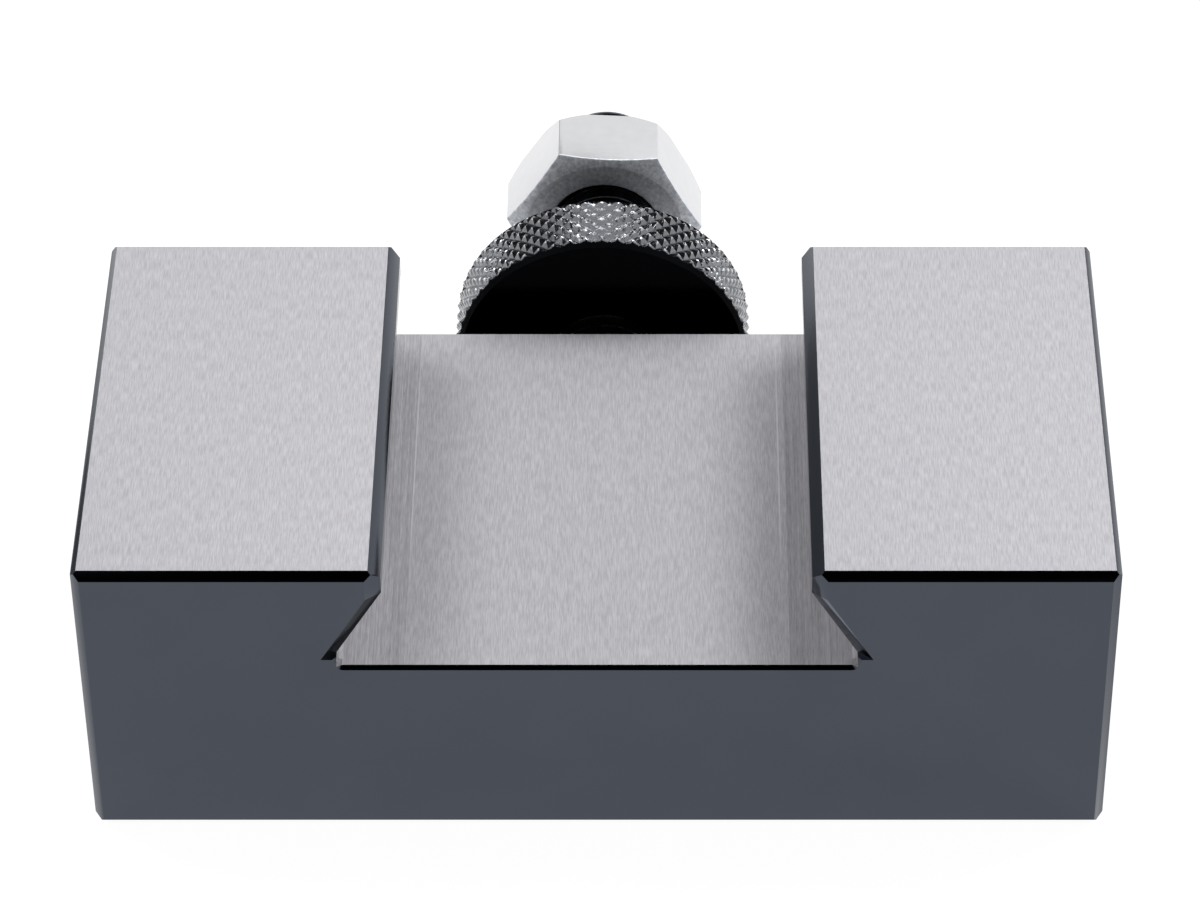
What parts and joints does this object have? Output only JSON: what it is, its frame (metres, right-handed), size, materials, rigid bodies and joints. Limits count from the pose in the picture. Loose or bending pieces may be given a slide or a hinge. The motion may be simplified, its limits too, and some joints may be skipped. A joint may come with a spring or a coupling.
{
  "type": "quick change tool holder",
  "caption": "Steel block with a dovetail slot that slides on a lathe tool post, a tool slot with clamp screws on its other side, and a height stud with a knurled wheel and lock nut.",
  "frame": {"origin": "middle of the dovetail's mouth, in the plane of the two ground faces that bear on the tool post, halfway along the block's height", "axes": "+Z out of the dovetail side, which is up as the holder lies on its jaw side; +Y along the dovetail towards the height stud, which is up when it is on the post; +X along the block's length"},
  "size_m": [0.0762, 0.0684, 0.0259],
  "materials": {
    "blackened_block_steel": "blackened steel with ground faces on the dovetail side",
    "blackened_stud_steel": "blackened, threaded",
    "blackened_wheel_steel": "blackened, knurled rim",
    "zinc_plated_steel": "satin bright zinc",
    "blackened_screw_steel": "blackened, threaded"
  },
  "bodies": {
    "holder": {"holder_body": "blackened_block_steel", "height_stud": "blackened_stud_steel"},
    "thumb_wheel": {"thumb_wheel": "blackened_wheel_steel"},
    "lock_nut": {"lock_nut": "zinc_plated_steel"},
    "clamp_screw_1": {"clamp_screw_1": "blackened_screw_steel"},
    "clamp_screw_2": {"clamp_screw_2": "blackened_screw_steel"},
    "clamp_screw_3": {"clamp_screw_3": "blackened_screw_steel"},
    "clamp_screw_4": {"clamp_screw_4": "blackened_screw_steel"}
  },
  "joints": [
    {"name": "wheel_travel", "type": "slide", "parent": "holder", "child": "thumb_wheel", "axis": [0, 1, 0], "range_m": [-0.0024, 0.0051]},
    {"name": "nut_travel", "type": "slide", "parent": "holder", "child": "lock_nut", "axis": [0, 1, 0], "range_m": [-0.0051, 0.0044]},
    {"name": "clamp_screw_1_travel", "type": "slide", "parent": "holder", "child": "clamp_screw_1", "axis": [0, -1, 0], "range_m": [-0.008, 0.014]},
    {"name": "clamp_screw_2_travel", "type": "slide", "parent": "holder", "child": "clamp_screw_2", "axis": [0, -1, 0], "range_m": [-0.008, 0.014]},
    {"name": "clamp_screw_3_travel", "type": "slide", "parent": "holder", "child": "clamp_screw_3", "axis": [0, -1, 0], "range_m": [-0.008, 0.014]},
    {"name": "clamp_screw_4_travel", "type": "slide", "parent": "holder", "child": "clamp_screw_4", "axis": [0, -1, 0], "range_m": [-0.008, 0.014]}
  ]
}
